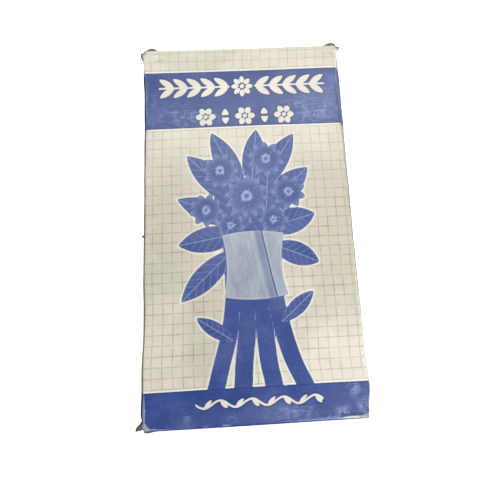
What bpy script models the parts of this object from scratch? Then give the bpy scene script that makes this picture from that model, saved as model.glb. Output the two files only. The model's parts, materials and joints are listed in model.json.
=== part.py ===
"""Folding carton of printed board for an abdominal binder.

One glued sleeve, and at each end a lid creased to the front panel, the tuck flap creased to that lid, and two dust
flaps creased to the side panels. Metres, +Z up. The carton lies on its back panel with its front panel up and its
head end towards +Y. The origin is the middle of the back panel's outer face.
"""

import math

import bmesh
import bpy
from mathutils import Matrix

# Outside sizes of the closed carton
CARTON_WIDTH = 0.133
CARTON_LENGTH = 0.244
CARTON_DEPTH = 0.045

# The board and its folds
BOARD = 0.0006
CORNER_RADIUS = 0.0014  # outside of the sleeve's four long creases
CREASE_GAP = 0.0005  # from a fold's axis to the board on each side of it
LAYER_GAP = 0.00035  # between boards that lie face to face
FOLD_CLEARANCE = 0.0003  # left beside a side panel by a dust flap that is folded in along it

# The flaps
TUCK_LENGTH = 0.018
TUCK_CORNER_RADIUS = 0.009
TUCK_SPARE_LEAN_DEG = 3.0
LID_SIDE_MARGIN = 0.0008
TUCK_SIDE_MARGIN = 0.0026
DUST_FLAP_LENGTH = 0.048
DUST_FLAP_CORNER_RADIUS = 0.006
DUST_FLAP_NOTCH = 0.0045  # length of the slanted notch beside the tuck flap
DUST_FLAP_TAPER_DEG = 4.0
DUST_FLAP_MARGIN = 0.0012
DUST_FLAP_SWING_DEG = 75.0  # how far a dust flap folds into the sleeve

# The glued seam
GLUE_FLAP_WIDTH = 0.013
GLUE_FLAP_BEVEL_DEG = 20.0

# How far the filled carton's panels swell outwards at most
SIDE_SWELL = 0.0060
FRONT_SWELL = 0.0026

# Shares of the swells at stations along the carton, from the foot end at 0 to the head end at 1
SWELL_TABLE = (
    {"along": 0.00, "right": 0.00, "left": 0.00, "front": 0.00},
    {"along": 0.08, "right": 0.55, "left": 0.90, "front": 0.35},
    {"along": 0.25, "right": 0.58, "left": 0.82, "front": 0.80},
    {"along": 0.48, "right": 0.72, "left": 0.68, "front": 1.00},
    {"along": 0.72, "right": 0.98, "left": 0.68, "front": 0.90},
    {"along": 0.91, "right": 0.90, "left": 0.60, "front": 0.45},
    {"along": 1.00, "right": 0.00, "left": 0.00, "front": 0.00},
)

# Fineness of the meshes
LENGTH_STEPS = 40
FRONT_STEPS = 8
SIDE_STEPS = 8
CORNER_STEPS = 3
OUTLINE_ARC_STEPS = 6
GLUE_FLAP_STEPS = 3
SHARP_ANGLE_DEG = 50.0

# Linear colours of the printed and the unprinted board
CREAM = (0.70, 0.65, 0.53)
BLUE = (0.045, 0.075, 0.27)
GREY_BOARD = (0.33, 0.30, 0.25)

# Places worked out from the sizes above, in the plane across a fold: y outwards from the middle, z up
LID_AXIS_Y = CARTON_LENGTH / 2 - BOARD / 2
LID_AXIS_Z = CARTON_DEPTH - BOARD / 2
TUCK_AXIS_Z = BOARD + LAYER_GAP + BOARD / 2
LID_REACH = LID_AXIS_Z - TUCK_AXIS_Z
DUST_AXIS_X = CARTON_WIDTH / 2 - BOARD - BOARD / 2 - FOLD_CLEARANCE
DUST_AXIS_Y = LID_AXIS_Y - BOARD - LAYER_GAP
PANEL_END_Y = LID_AXIS_Y - CREASE_GAP
SIDE_END_Y = DUST_AXIS_Y - CREASE_GAP

# The tuck flap leans into the carton just enough to swing past the back panel's edge as the lid opens
TUCK_LEAN = math.asin(TUCK_LENGTH / (2 * LID_REACH)) + math.radians(TUCK_SPARE_LEAN_DEG)
TUCK_TOP_Z = TUCK_AXIS_Z + TUCK_LENGTH * math.sin(TUCK_LEAN) + BOARD / 2


def material(name, colour, roughness):
    made = bpy.data.materials.new(name)
    made.use_nodes = True
    shader = made.node_tree.nodes["Principled BSDF"]
    shader.inputs["Base Color"].default_value = (*colour, 1.0)
    shader.inputs["Roughness"].default_value = roughness
    shader.inputs["Metallic"].default_value = 0.0
    return made


def add_object(name, data, finish):
    data.materials.append(finish)
    made = bpy.data.objects.new(name, data)
    bpy.context.scene.collection.children["folding_carton"].objects.link(made)
    return made


def swell_share(along, panel):
    """The panel's share of its swell at a station, eased between the rows of the table."""
    for low, high in zip(SWELL_TABLE, SWELL_TABLE[1:]):
        if along <= high["along"]:
            part = (along - low["along"]) / (high["along"] - low["along"])
            eased = part * part * (3 - 2 * part)
            return low[panel] + (high[panel] - low[panel]) * eased
    return SWELL_TABLE[-1][panel]


def station(step):
    """A station's place along the carton, from 0 to 1. Stations lie closer together towards both ends."""
    part = step / LENGTH_STEPS
    return part - math.sin(2 * math.pi * part) / (4 * math.pi)


def side_swell(along, panel, z):
    """How far a side panel stands out at height z: a shallow arc from crease to crease."""
    across = 2 * z / CARTON_DEPTH - 1
    return SIDE_SWELL * swell_share(along, panel) * (1 - across * across)


def front_swell(along, x):
    across = 2 * x / CARTON_WIDTH
    return FRONT_SWELL * swell_share(along, "front") * (1 - across * across)


def sleeve_profile():
    """The flat section's outer points, from the back panel's left end round by the right side, as (x, z, end_y)."""
    half = CARTON_WIDTH / 2 - CORNER_RADIUS
    low, high = CORNER_RADIUS, CARTON_DEPTH - CORNER_RADIUS
    corners = (
        (half, low, -90, PANEL_END_Y, SIDE_END_Y),
        (half, high, 0, SIDE_END_Y, PANEL_END_Y),
        (-half, high, 90, PANEL_END_Y, SIDE_END_Y),
        (-half, low, 180, SIDE_END_Y, PANEL_END_Y),
    )
    between = (SIDE_STEPS, FRONT_STEPS, SIDE_STEPS, 1)
    points = []
    for corner, (x, z, start, end_before, end_after) in enumerate(corners):
        for step in range(CORNER_STEPS + 1):
            part = step / CORNER_STEPS
            angle = math.radians(start + 90 * part)
            point = (
                x + CORNER_RADIUS * math.cos(angle),
                z + CORNER_RADIUS * math.sin(angle),
                end_before + (end_after - end_before) * part,
            )
            points.append(point)
        following = corners[(corner + 1) % len(corners)]
        angle = math.radians(start + 90)
        first = points[-1]
        last_x = following[0] + CORNER_RADIUS * math.cos(angle)
        last_z = following[1] + CORNER_RADIUS * math.sin(angle)
        for step in range(1, between[corner]):
            part = step / between[corner]
            points.append((first[0] + (last_x - first[0]) * part, first[1] + (last_z - first[1]) * part, first[2]))
    return points


def sleeve_point(x, z, end_y, along):
    """A point of the sleeve's outer face: the flat section swollen by its panels."""
    y = (2 * along - 1) * end_y
    half = CARTON_WIDTH / 2 - CORNER_RADIUS
    swollen_x, swollen_z = x, z
    if x > half:
        swollen_x += side_swell(along, "right", z)
    if x < -half:
        swollen_x -= side_swell(along, "left", z)
    if z > CARTON_DEPTH - CORNER_RADIUS:
        swollen_z += front_swell(along, x)
    return (swollen_x, y, swollen_z)


def board_of_rows(name, rows, finish, closed):
    """Board of even thickness whose outer face runs through rows of points; its inner side is made by Solidify."""
    mesh = bpy.data.meshes.new(name)
    built = bmesh.new()
    grid = [[built.verts.new(point) for point in row] for row in rows]
    for here, after in zip(grid, grid[1:]):
        count = len(here)
        for index in range(count if closed else count - 1):
            follow = (index + 1) % count
            built.faces.new((here[index], after[index], after[follow], here[follow]))
    built.to_mesh(mesh)
    built.free()
    mesh.shade_smooth()
    mesh.set_sharp_from_angle(angle=math.radians(SHARP_ANGLE_DEG))
    made = add_object(name, mesh, finish)
    board = made.modifiers.new("board", "SOLIDIFY")
    board.thickness = BOARD
    board.offset = -1.0
    board.use_even_offset = True
    return made


def make_sleeve(finish):
    profile = sleeve_profile()
    rows = []
    for step in range(LENGTH_STEPS + 1):
        along = station(step)
        rows.append([sleeve_point(x, z, end_y, along) for x, z, end_y in profile])
    return board_of_rows("sleeve", rows, finish, closed=True)


def left_wall_point(along, z, inwards):
    """A point the given distance inside the left side panel's outer face, with its height."""
    across = 2 * z / CARTON_DEPTH - 1
    height = SIDE_SWELL * swell_share(along, "left")
    slope = -height * 2 * across * 2 / CARTON_DEPTH
    length = math.hypot(1.0, slope)
    x = -(CARTON_WIDTH / 2 + side_swell(along, "left", z))
    return x + inwards / length, z + inwards * slope / length


def make_glue_flap(finish):
    """The seam's flap, glued inside the left side panel and creased to the back panel."""
    low = CORNER_RADIUS + 2 * LAYER_GAP
    layers = 2 * (BOARD + LAYER_GAP) + LAYER_GAP
    setback = layers / math.cos(math.radians(DUST_FLAP_SWING_DEG)) + 2 * LAYER_GAP
    slant = math.tan(math.radians(GLUE_FLAP_BEVEL_DEG))
    rows = []
    for step in range(LENGTH_STEPS + 1):
        part = station(step)
        row = []
        for across in range(GLUE_FLAP_STEPS + 1):
            rise = GLUE_FLAP_WIDTH * (1 - across / GLUE_FLAP_STEPS)
            end_y = SIDE_END_Y - setback - rise * slant
            y = (2 * part - 1) * end_y
            along = (y / SIDE_END_Y + 1) / 2
            x, z = left_wall_point(along, low + rise, BOARD + LAYER_GAP)
            row.append((x, y, z))
        rows.append(row)
    return board_of_rows("glue_flap", rows, finish, closed=False)


def rounded_outline(corners):
    """The points of a flat outline. Each corner is (x, y, radius), and a radius above 0 becomes an arc."""
    points = []
    count = len(corners)
    for index, (x, y, radius) in enumerate(corners):
        if radius <= 0:
            points.append((x, y))
            continue
        before = corners[index - 1]
        after = corners[(index + 1) % count]
        to_before = math.atan2(before[1] - y, before[0] - x)
        to_after = math.atan2(after[1] - y, after[0] - x)
        opening = (to_after - to_before) % (2 * math.pi)
        if opening > math.pi:
            opening -= 2 * math.pi
        middle = to_before + opening / 2
        reach = radius / abs(math.sin(opening / 2))
        centre = (x + reach * math.cos(middle), y + reach * math.sin(middle))
        side = math.copysign(math.pi / 2, opening)
        start = to_before - side
        sweep = -(math.pi - abs(opening)) * math.copysign(1.0, opening)
        for step in range(OUTLINE_ARC_STEPS + 1):
            angle = start + sweep * step / OUTLINE_ARC_STEPS
            points.append((centre[0] + radius * math.cos(angle), centre[1] + radius * math.sin(angle)))
    return points


def make_plate(name, corners, finish):
    """A flat piece of board with the given outline, centred on its own XY plane."""
    curve = bpy.data.curves.new(name, "CURVE")
    curve.dimensions = "2D"
    curve.fill_mode = "BOTH"
    curve.extrude = BOARD / 2
    points = rounded_outline(corners)
    spline = curve.splines.new("POLY")
    spline.points.add(len(points) - 1)
    for point, (x, y) in zip(spline.points, points):
        point.co = (x, y, 0.0, 1.0)
    spline.use_cyclic_u = True
    return add_object(name, curve, finish)


def axes_matrix(x_axis, y_axis, place):
    """The matrix that sends a plate's own X and Y to the given directions and its origin to a place."""
    z_axis = (
        x_axis[1] * y_axis[2] - x_axis[2] * y_axis[1],
        x_axis[2] * y_axis[0] - x_axis[0] * y_axis[2],
        x_axis[0] * y_axis[1] - x_axis[1] * y_axis[0],
    )
    columns = Matrix((x_axis, y_axis, z_axis)).transposed().to_4x4()
    return Matrix.Translation(place) @ columns


def make_lid(end, turn, finish):
    """The lid and its tuck flap, both parented to an empty on the lid's crease."""
    hinge = bpy.data.objects.new(f"{end}_lid_crease", None)
    bpy.context.scene.collection.children["folding_carton"].objects.link(hinge)
    hinge.matrix_world = turn @ Matrix.Translation((0.0, LID_AXIS_Y, LID_AXIS_Z))

    half = CARTON_WIDTH / 2 - LID_SIDE_MARGIN
    near, far = -CREASE_GAP, -(LID_REACH - CREASE_GAP)
    lid = make_plate(f"{end}_lid", ((-half, near, 0), (-half, far, 0), (half, far, 0), (half, near, 0)), finish)
    lid.parent = hinge
    lid.matrix_local = axes_matrix((1.0, 0.0, 0.0), (0.0, 0.0, 1.0), (0.0, 0.0, 0.0))

    half = CARTON_WIDTH / 2 - TUCK_SIDE_MARGIN
    far, radius = -TUCK_LENGTH, TUCK_CORNER_RADIUS
    outline = ((-half, near, 0), (-half, far, radius), (half, far, radius), (half, near, 0))
    tuck = make_plate(f"{end}_tuck_flap", outline, finish)
    tuck.parent = hinge
    back = (0.0, math.cos(TUCK_LEAN), -math.sin(TUCK_LEAN))
    tuck.matrix_local = axes_matrix((1.0, 0.0, 0.0), back, (0.0, 0.0, -LID_REACH))


def make_dust_flap(name, side, turn, finish):
    """A dust flap with its own origin on its crease. Its notched edge clears the tuck flap."""
    low = TUCK_AXIS_Z + BOARD
    shoulder = TUCK_TOP_Z + 2 * LAYER_GAP
    high = CARTON_DEPTH - BOARD - DUST_FLAP_MARGIN
    taper = (DUST_FLAP_LENGTH - DUST_FLAP_NOTCH) * math.tan(math.radians(DUST_FLAP_TAPER_DEG))
    radius = DUST_FLAP_CORNER_RADIUS
    outline = (
        (CREASE_GAP, low, 0),
        (CREASE_GAP + DUST_FLAP_NOTCH, shoulder, 0),
        (DUST_FLAP_LENGTH, shoulder + taper, radius),
        (DUST_FLAP_LENGTH, high - taper, radius),
        (CREASE_GAP + DUST_FLAP_NOTCH, high, 0),
        (CREASE_GAP, high - DUST_FLAP_MARGIN, 0),
    )
    flap = make_plate(name, outline, finish)
    place = (side * DUST_AXIS_X, DUST_AXIS_Y, 0.0)
    flap.matrix_world = turn @ axes_matrix((-side, 0.0, 0.0), (0.0, 0.0, 1.0), place)


def main():
    for old in list(bpy.data.objects):
        bpy.data.objects.remove(old, do_unlink=True)
    carton = bpy.data.collections.new("folding_carton")
    bpy.context.scene.collection.children.link(carton)

    make_sleeve(material("sleeve_board", CREAM, 0.5))
    make_glue_flap(material("glue_flap_board", GREY_BOARD, 0.8))
    ends = (("head", 1, CREAM), ("foot", -1, BLUE))
    for end, facing, colour in ends:
        turn = Matrix.Rotation(0.0 if facing > 0 else math.pi, 4, "Z")
        make_lid(end, turn, material(f"{end}_lid_board", colour, 0.5))
        for side in (1, -1):
            side_name = "right" if side * facing > 0 else "left"
            name = f"{end}_dust_flap_{side_name}"
            make_dust_flap(name, side, turn, material(f"{name}_board", CREAM, 0.6))


main()
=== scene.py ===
"""Looks of a worn folding carton of printed board.

The boards are sheets of real thickness that follow the frame: the sleeve with its glued seam, a lid with its
tuck flap at each end, and four dust flaps. The print is computed on the sheets: a grid, two blue bands with
ornaments, and a tied bouquet on the front panel. The board's and the print's tables are in millimetres, all
else is in metres.
"""

import json
import math

import bmesh
import bpy
import numpy as np
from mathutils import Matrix, Vector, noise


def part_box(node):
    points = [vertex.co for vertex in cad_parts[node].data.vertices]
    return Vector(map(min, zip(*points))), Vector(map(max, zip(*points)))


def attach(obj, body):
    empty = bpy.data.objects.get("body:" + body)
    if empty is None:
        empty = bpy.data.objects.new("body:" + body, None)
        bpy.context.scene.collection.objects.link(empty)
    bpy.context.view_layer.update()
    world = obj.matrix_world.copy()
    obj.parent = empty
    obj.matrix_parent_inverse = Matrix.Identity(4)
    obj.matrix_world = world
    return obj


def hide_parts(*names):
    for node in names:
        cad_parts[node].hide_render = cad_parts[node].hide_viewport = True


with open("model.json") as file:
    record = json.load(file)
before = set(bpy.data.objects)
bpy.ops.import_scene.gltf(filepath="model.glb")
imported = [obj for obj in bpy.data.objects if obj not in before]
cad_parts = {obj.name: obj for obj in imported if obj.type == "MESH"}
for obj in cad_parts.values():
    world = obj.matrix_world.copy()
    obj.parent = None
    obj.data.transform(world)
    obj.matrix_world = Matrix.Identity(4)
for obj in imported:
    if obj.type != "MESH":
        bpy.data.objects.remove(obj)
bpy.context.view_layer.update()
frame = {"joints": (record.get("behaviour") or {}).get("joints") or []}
MM = 0.001

# Sizes read from the frame, and the margin of a lid beside the sleeve's wall
JOINTS = {joint["name"]: joint for joint in frame["joints"]}
LID_LOW, LID_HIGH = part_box("head_lid")
TUCK_LOW, TUCK_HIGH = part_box("head_tuck_flap")
GLUE_LOW, GLUE_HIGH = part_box("glue_flap")
SLEEVE_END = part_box("sleeve")[1].y
BOARD = LID_HIGH.y - LID_LOW.y
HALF_LENGTH = LID_HIGH.y
LID_AXIS_Y, LID_AXIS_Z = JOINTS["head_lid_crease"]["pos_m"][1:]
DUST_AXIS_X, DUST_AXIS_Y = JOINTS["head_dust_flap_right_crease"]["pos_m"][:2]
DEPTH = LID_AXIS_Z + BOARD / 2
LID_MARGIN = 0.8 * MM
HALF_WIDTH = LID_HIGH.x + LID_MARGIN
FOOT_DOWN = 2 * HALF_LENGTH / MM

# The board as it is creased and worn
CREASE_RADIUS = 0.9 * MM
SEAM_GAP = 0.12 * MM
NOSE_SHRINK = 0.05 * MM
NOSE_START = 0.985
CURL_LENGTH = 2.0 * MM
GLUE_BEVEL = math.tan(math.radians(20))
SHARP_ANGLE = math.radians(50)

# Lids and flaps as they are cut and bent
LID_BEND = 0.7 * MM
LID_CROWN = 1.1 * MM
TUCK_CORNER = 9.0 * MM
TUCK_EASE = 3.0 * MM
DUST_NOTCH = 5.0 * MM
DUST_CORNER = 6.0 * MM
DUST_TAPER = math.tan(math.radians(4))
DUST_SHOULDER = 0.7 * MM
DUST_MARGIN = 1.2 * MM
DUST_BOW = 0.5 * MM

# A torn flake at the left fold
FLAKE = {"down": 128.3, "z": 43.2, "reach": 2.8, "wide": 1.9, "droop": 0.9, "bare": 2.0}
FLAKE_EDGE = {"ragged": 0.12 * MM, "curl": 0.15 * MM}

# How finely the sheets are divided, how much their points crowd, and how far round a corner they reach
NOSE_STEPS = 4
SECTION_STEPS = {"side": 34, "bend": 4, "front": 150, "back": 12, "glue": 8}
SLEEVE_ROWS = 271
SLEEVE_SKIP = 6
LID_STEPS = {"fall": 64, "bend": 7, "tuck": 22, "across": 132}
DUST_STEPS = {"reach": 28, "corner": 9, "across": 26}
FLAKE_STEPS = {"reach": 7, "across": 5}
CROWD = {"side": 0.35, "sleeve": 0.25, "lid": 1.6}
CORNER_END = 0.985


def table(columns, *rows):
    """A table's rows as dictionaries, from the names of its columns and each row's values."""
    return [dict(zip(columns.split(), row)) for row in rows]


# How the filled carton swells: how far each long fold stands out, and each panel's swell beyond its folds
SHAPE_TABLE = table(
    "down right_fold right left_fold left front",
    (0, 0, 0, 0, 0, 0),
    (12, -1, 3.6, -0.4, 3.3, 0.1),
    (24, -1.9, 5, -1.5, 4.1, 0.2),
    (38, -2.4, 5.1, -1.8, 4.2, 0.4),
    (55, -2.2, 4.9, -1.9, 4.2, 0.9),
    (75, -1.7, 4.7, -1.7, 4.2, 1.7),
    (100, -1.3, 4.3, -1.3, 4.2, 2.4),
    (132, -0.8, 4, -1.3, 4.3, 2.6),
    (160, -0.5, 3.9, -0.8, 4.3, 2.5),
    (180, 0.3, 4, -1.2, 4.3, 2.2),
    (200, 0.5, 3.7, -0.5, 4.4, 1.8),
    (212, 0.6, 3.4, 0.1, 4.8, 1.3),
    (222, 1.7, 2.9, 0, 4.8, 0.9),
    (228, 1.7, 2.5, 0.1, 4.2, 0.7),
    (234, 0.8, 1.9, 0.1, 3.4, 0.4),
    (244, 0, 0, 0, 0, 0),
)
FACING = {"head": 1, "foot": -1}
END_BOW = {"head": 0.4 * MM, "foot": 0.5 * MM}

# Soft waves of a handled board, ripples of the long folds, and where waves, ripples and dents fade in
WAVES = table("size seed high", (38.0, 3.1, 0.35), (14.0, 8.4, 0.10))
RIPPLES = table("length phase high", (9.0, 2.0, 0.10), (3.7, 0.0, 0.06))
WAVE_FADE = (0.5 * MM, 8.0 * MM)
RIPPLE_FADE = (4.0, 16.0)
DENT_FADE = (0.3, 4.0)

# Crumples that push a side panel out near its upper fold. end is 1 at the head and -1 at the foot. The
# reaches run from the peak towards the end, away from it, up and down. bare is how far the coating is broken,
# which shows bare board painted dark as in shade
EARS = table(
    "panel end from_end near far z up down out bare",
    ("left", 1, 1.3, 1.2, 6.4, 43, 1.6, 8, 2.9, 2.9),
    ("right", 1, 1.2, 1.1, 3.2, 43.4, 1.2, 5, 3.2, 3.2),
    ("left", -1, 0.9, 1.1, 5.4, 42, 2.2, 9, 6.1, 6.1),
    ("left", -1, 9, 7, 16, 42.8, 2, 16, 1.3, 0.3),
)

# How far each crumple also stretches past its end, as a share of its push
EAR_STRETCH = 0.22

# Bumps of the lids near their upper corners and across their middles
LID_BUMPS = table(
    "end across z half_across half_up out bare",
    ("head", -60.8, 43.7, 3.7, 1.6, 2.7, 2.7),
    ("head", 62.2, 43.7, 4.4, 1.8, 2.6, 2.6),
    ("head", 20, 30, 30, 12, 0.7, 0),
    ("foot", -8, 42.8, 66, 2.6, 0.8, 0),
    ("foot", -64, 43.6, 3.4, 1.8, 0.8, 1.6),
    ("foot", 20, 26, 34, 10, 0.6, 0),
)

# Dents and ridges pressed into the front panel: places across from its middle and down from the head end
DENTS = table(
    "across down long wide turn deep",
    (-62.6, 240.2, 7, 1.8, 50, 0.22),
    (-56, 241.2, 9, 2.4, 4, 0.16),
    (62.2, 236, 9, 1.7, 48, 0.45),
    (60.2, 238.2, 8, 1.5, 44, -0.35),
    (65, 227, 16, 1.5, 86, 0.20),
    (57, 241, 13, 1.5, -8, 0.35),
    (48, 239, 12, 2, -12, 0.30),
    (-59, 4, 8, 1.6, -5, -0.45),
    (-56, 7, 9, 2, -8, 0.30),
    (62, 6, 7, 2, 35, 0.35),
    (-50, 48, 13, 5, 20, 0.22),
    (-61, 40, 12, 1.3, 66, -0.26),
    (46, 50, 16, 5, -25, 0.25),
    (30, 199, 22, 9, 70, 0.20),
    (-36, 176, 26, 9, 60, 0.20),
)

# Print layout on the front panel, down from the head end and across from the middle
GRID_PITCH = 6.25
GRID_START = {"across": 1.0, "down": 2.55}
GRID_LINE = 0.27
UPPER_BAND = {"from": 16.9, "to": 57.5}
LOWER_BAND_FROM = 222.8
BAND_MARGIN = 1.0
BAND_RIM = 0.7
HALO = 1.15
PRINT_PAST_LID = 3.5

# The bouquet. Leaves run from their base to their tip, and flowers are rings of petals
STEMS = table(
    "top foot bow wide",
    ((-13, 126), (-25, 226), 5, 10.4),
    ((-4, 122), (-8.5, 226), 2.5, 10.8),
    ((6, 122), (10.5, 226), -2, 10.6),
    ((15, 126), (29.5, 226), -5.5, 10.8),
)
LEAVES = table(
    "base tip wide",
    ((-10, 140), (-44, 171), 14.5),
    ((17, 186), (38, 168), 9.5),
    ((-12, 196), (-35, 181), 9),
    ((15, 138), (43.5, 150), 14.5),
    ((-6, 130), (-45, 136), 16),
    ((10, 128), (43, 119), 16.5),
    ((-4, 124), (-45.5, 106), 15),
    ((8, 116), (41, 88), 16.5),
    ((-4, 112), (-39, 77), 16.5),
    ((6, 104), (33, 64), 15.5),
    ((-2, 104), (-22.5, 61.5), 15.5),
    ((3, 100), (8, 60.5), 15),
    ((-8, 134), (-12, 92), 24),
    ((10, 134), (14, 92), 24),
)
FLOWERS = table(
    "at reach petals turn",
    ((-27, 114), 11, 9, 8),
    ((27, 104), 11.5, 9, 20),
    ((-17, 88), 12, 10, 4),
    ((13.5, 81), 12, 10, 15),
    ((16, 122), 9.5, 8, 0),
    ((-0.5, 106), 14.5, 12, 6),
    ((-11.5, 124.5), 9, 8, 12),
)
RIBBON = {"across": 2.5, "from": 131.0, "to": 169.5, "half": 19.8, "waist": 2.6, "arch": 2.2}
RIBBON_FOLD = {"across": 9.5, "lean": 7.0}
PETAL_WIDTH = 4.25

# A flower's heart and core as shares of its reach, and where along them its petals grow pale
FLOWER_PARTS = {"heart": 0.24, "core": 0.12}
PETAL_PALE = (0.34, 1.05)

# How pale the bouquet's parts are, from 0 for full ink to 1, and how much paler they grow
TONES = {"stem": 0.015, "leaf": 0.02, "petal": 0.02, "heart": 0.75, "core": 0.10}
TONE_RISE = {"leaf": 0.05, "petal": 0.40}

# Distances that stand for no shape, and for no rib or fold, nearby
FAR = 20.0
NO_RIB = 9.0

# The ornaments on the bands: a garland of paired leaves, a shorter row of rosettes, and a thin sprig
GARLAND = {"down": 28.4, "reach": 57.5, "pairs": 5, "leaf": 12.2, "wide": 4.3, "spread": 34.0, "rosette": 7.6}
ROSETTES = {"down": 50.0, "across": 1.0, "pitch": 13.4, "count": 5, "reach": 6.9}
GARLAND_STEM = {"half": 0.65, "gap": 1.0, "root": 1.6, "spare": 3.0}
ROSETTE = {"heart": 0.2, "inner": 0.3, "narrow": 0.82}
BUD = {"reach": 5.6, "wide": 5.2, "parting": 0.9}
SPRIG_LEAF = {"root": 0.8, "along": 4.6, "rise": 2.6, "wide": 2.1}
SPRIG = {"down": 231.4, "across": 1.5, "half": 37.5, "rise": 2.1, "wave": 18.5, "wide": 0.6}

# Soft patches of wear, painted sheen and painted shade, each with its middle, its reach and its strength
PATCH = "across down half_across half_down strength"

# Rubbed places of the print
RUBS = table(
    PATCH,
    (-60.5, 39, 2, 4, 0.80),
    (-42, 49, 14, 7.5, 0.62),
    (-26, 51, 12, 5, 0.50),
    (46, 48, 20, 9, 0.72),
    (62, 32, 6, 14, 0.30),
    (57, 226, 3.4, 4.6, 0.90),
    (51, 239.8, 4.5, 3, 1.00),
    (62.5, 237, 3, 4, 0.70),
    (44, 243, 6, 1.4, 1.00),
    (22, 238, 13, 5, 0.45),
    (-14, 240, 4, 1.6, 0.60),
    (-41, 239, 2, 3, 0.70),
)

# Creases whose coating is rubbed through most
WORN = table(
    PATCH,
    (-65.4, 234, 3, 12, 1.20),
    (-62, 243, 10, 3.5, 1.10),
    (-58, 0.5, 9, 2, 0.60),
    (-66, 30, 2, 16, 0.45),
    (66, 24, 2, 12, 0.40),
    (62, 243.6, 6, 1.5, 0.90),
    (66, 232, 2, 9, 0.50),
    (48, 243.8, 27, 1.6, 1.50),
    (58, 243.4, 13, 2, 2.60),
)

# Painted sheen and light over the ink, broad and even: the ink painted paler where gloss would shine, and
# paler on the right side panel's strip than the light makes it
SHEEN_AND_LIGHT_PATCHES = table(
    PATCH,
    (62, 38, 44, 26, 0.33),
    (4, 47, 60, 12, 0.10),
    (71, 38, 4.5, 24, 0.85),
    (14, 240, 46, 7, 0.16),
    (60, 232, 30, 16, 0.16),
)

# Places painted darker, partly aged coating and partly painted shade where the light falls off over the
# middle and left, and where negative, a paler patch of painted light
SHADE_AND_AGE_PATCHES = table(
    PATCH,
    (0, 8, 34, 11, 0.45),
    (-40, 126, 30, 56, 0.85),
    (44, 128, 46, 48, 1.30),
    (-26, 182, 20, 36, 1.20),
    (12, 176, 30, 30, 0.60),
    (52, 214, 24, 22, -0.70),
)

# Darker lines beside the creases, painted shade with some dirt, and where negative, coating that is scuffed
# pale. The dents are painted darker too, as painted shade in their hollows
CREASE_SHADE_DIRT_AND_SCUFFS = table(
    PATCH,
    (65.7, 40, 0.7, 26, 0.70),
    (65.7, 105, 0.6, 60, 0.40),
    (66.2, 228, 0.5, 13, 0.62),
    (46, 241.5, 20, 0.5, 0.42),
    (-66.6, 70, 0.6, 60, 0.40),
    (-66.8, 226, 0.7, 16, 0.60),
    (-64.6, 27, 0.35, 11, -0.55),
    (-65.9, 238, 0.55, 9, -0.95),
)
CRINKLE_GAIN = 1.4

# Linear colours
CREAM = (0.660, 0.625, 0.548)
# Darker cream for aged coating and for painted shade
CREAM_AGED_AND_SHADED = (0.500, 0.475, 0.398)
PAPER_WHITE = (0.760, 0.745, 0.690)
GRID_INK = (0.285, 0.262, 0.200)
BLUE = (0.025, 0.058, 0.232)
BLUE_DEEP = (0.017, 0.043, 0.186)
BLUE_PALE = (0.270, 0.330, 0.560)
RIBBON_GREY = (0.210, 0.245, 0.330)
RIBBON_PALE = (0.370, 0.400, 0.445)
RUBBED_INK = (0.245, 0.285, 0.500)
# The paler colour of the painted sheen on the ink
SHEEN_COLOUR = (0.260, 0.290, 0.420)
# Bare board, painted as dark as it looks in shade, and dirty
BARE_BOARD_IN_SHADE = (0.150, 0.140, 0.110)
FRAYED = (0.390, 0.405, 0.370)
# The frayed board painted as in the shade of its crumples
FRAYED_IN_SHADE = (0.165, 0.175, 0.135)
BOARD_FIBRE = (0.120, 0.112, 0.085)
FLAP_WHITE = (0.660, 0.630, 0.545)
BOARD_GREY = (0.300, 0.285, 0.235)
BOARD_PALE = (0.410, 0.390, 0.330)
SCUFF = (0.400, 0.380, 0.330)
RIM_TINT = (0.500, 0.520, 0.600)
# Painted shade in the dents and beside the creases, with some dirt
SHADE_AND_DIRT_TINT = (0.300, 0.280, 0.330)
COATING_TINTS = table("size low tint", (24.0, 0.45, (0.950, 1.0, 0.935)), (17.0, 0.50, (1.0, 0.950, 0.968)))

# Floor, light and camera
CAMERA_PLACE = (3.2 * MM, -61.3 * MM, 324.8 * MM)
CAMERA_TURN = (11.08, -1.51, -3.02)
CAMERA_LENS = 32.4
CAMERA_SHIFT = (-0.04, -0.02)
LAMPS = table(
    "name place target size power colour",
    ("overhead", (-0.03, 0.32, 0.80), (0.0, 0.0, 0.0), 0.45, 5.35, (1.0, 1.0, 0.95)),
    ("side", (0.45, -0.44, 0.47), (0.0, 0.0, 0.0), 0.35, 3.85, (0.985, 0.962, 1.0)),
    ("low_right", (0.62, 0.10, 0.07), (0.0, 0.02, 0.02), 0.30, 1.5, (1.0, 0.99, 0.98)),
)
WORLD_RISE = {"From Min": -0.15, "From Max": 0.10, "To Min": 0.05, "To Max": 0.20}
WORLD_COLOUR = (1.0, 0.99, 0.95, 1.0)
FLOOR_WHITES = ((0.90, 0.90, 0.90), (0.93, 0.93, 0.93))
FLOOR_GLOW = 0.62
FLOOR_SIZE = 6.0
FLOOR_TOP = -0.0003
BACKDROP_RADIUS = 2.2
BACKDROP_RISE = 1.4
BACKDROP_SIDES = 96
BACKDROP_ROWS = 14


def shape_curve(column, down):
    """A smooth curve through one column of the shape table, in metres, at places down from the head in mm."""
    stations = np.array([row["down"] for row in SHAPE_TABLE])
    values = np.array([row[column] for row in SHAPE_TABLE])
    slopes = np.gradient(values, stations)
    row = np.clip(np.searchsorted(stations, down, side="right") - 1, 0, len(stations) - 2)
    width = stations[row + 1] - stations[row]
    part = np.clip((down - stations[row]) / width, 0, 1)
    rise = values[row + 1] - values[row]
    bend = part * (1 - part) * width * (slopes[row] * (1 - part) - slopes[row + 1] * part)
    ease = part * part * (3 - 2 * part)
    return (values[row] + rise * ease + bend) * MM


def add_object(name, data):
    """A new object in the scene."""
    made = bpy.data.objects.new(name, data)
    bpy.context.scene.collection.objects.link(made)
    return made


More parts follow.
